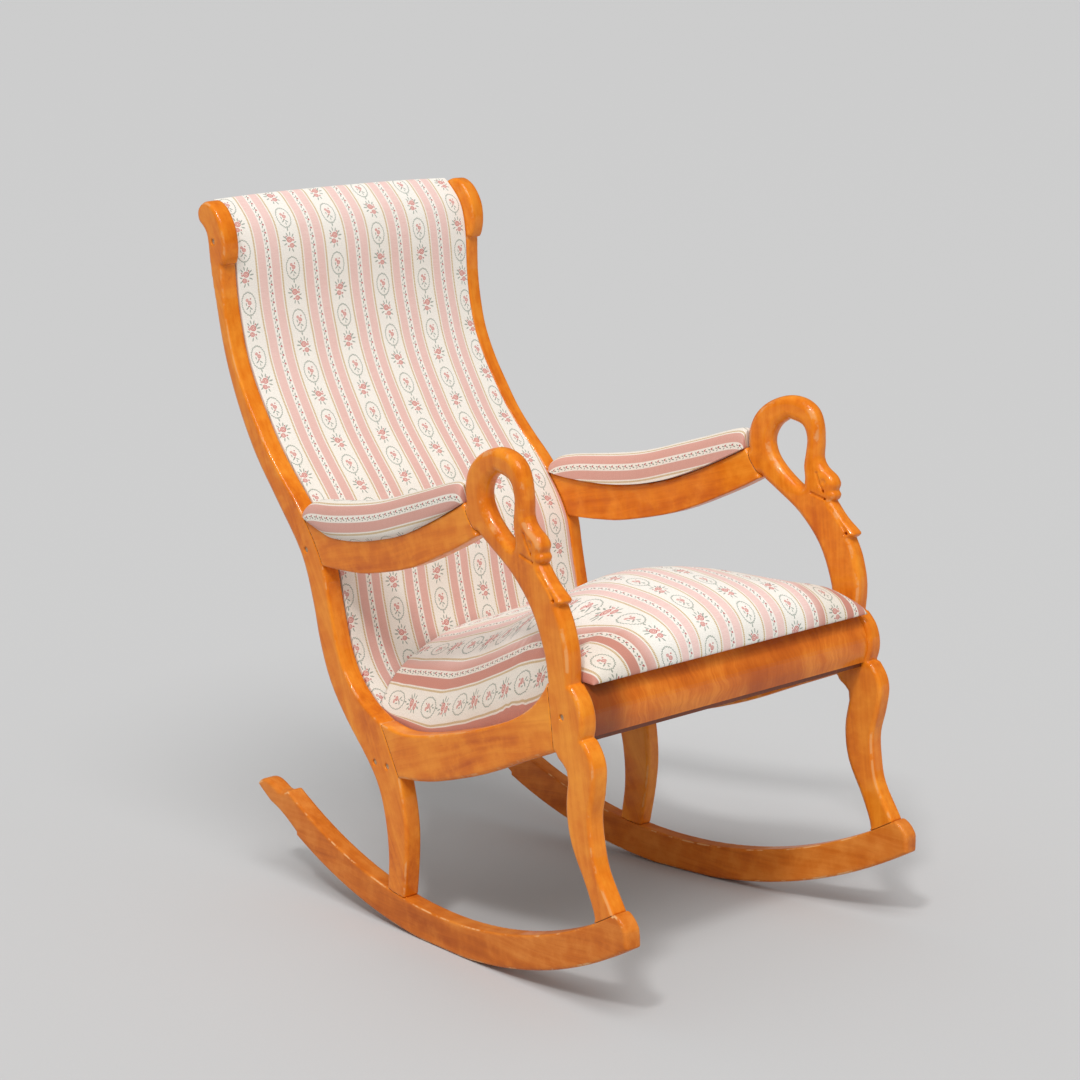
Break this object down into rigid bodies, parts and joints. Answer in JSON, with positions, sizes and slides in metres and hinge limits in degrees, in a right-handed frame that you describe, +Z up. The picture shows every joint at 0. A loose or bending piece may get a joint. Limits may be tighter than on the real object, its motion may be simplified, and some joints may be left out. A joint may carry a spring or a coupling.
{
  "type": "bow rocking chair",
  "caption": "High-backed bow rocking chair with scrolled stiles, swan-neck arm supports, padded arms and a sprung, striped seat and back",
  "frame": {"origin": "middle of the footprint at floor level: the centre of the bounding box in X and Y, at its bottom", "axes": "+X towards the sitter's left, +Y towards the back, +Z up; the front faces -Y"},
  "size_m": [0.645, 0.9669, 1.0672],
  "materials": {
    "frame_wood": "gloss",
    "figured_veneer": "gloss",
    "dark_moulding": "gloss",
    "plain_wood": "matte",
    "striped_cloth": "matte",
    "jute_webbing": "matte",
    "spring_canvas": "matte",
    "spring_steel": "satin",
    "screw_steel": "satin"
  },
  "bodies": {
    "root": {"right_rocker": "frame_wood", "right_rear_stile": "frame_wood", "right_front_leg": "frame_wood", "right_side_rail": "frame_wood", "right_arm_rail": "frame_wood", "right_arm_pad": "striped_cloth", "right_frame_screws": "screw_steel", "left_rocker": "frame_wood", "left_rear_stile": "frame_wood", "left_front_leg": "frame_wood", "left_side_rail": "frame_wood", "left_arm_rail": "frame_wood", "left_arm_pad": "striped_cloth", "left_frame_screws": "screw_steel", "front_rail_core": "plain_wood", "front_rail_veneer": "figured_veneer", "front_rail_moulding": "dark_moulding", "rear_seat_rail": "plain_wood", "lumbar_rail": "plain_wood", "crest_rail": "plain_wood", "seat_webbing": "jute_webbing", "seat_springs": "spring_steel", "spring_canvas": "spring_canvas", "seat_cushion": "striped_cloth", "back_webbing": "jute_webbing", "back_cushion": "striped_cloth", "outer_back_cover": "striped_cloth"}
  },
  "joints": []
}
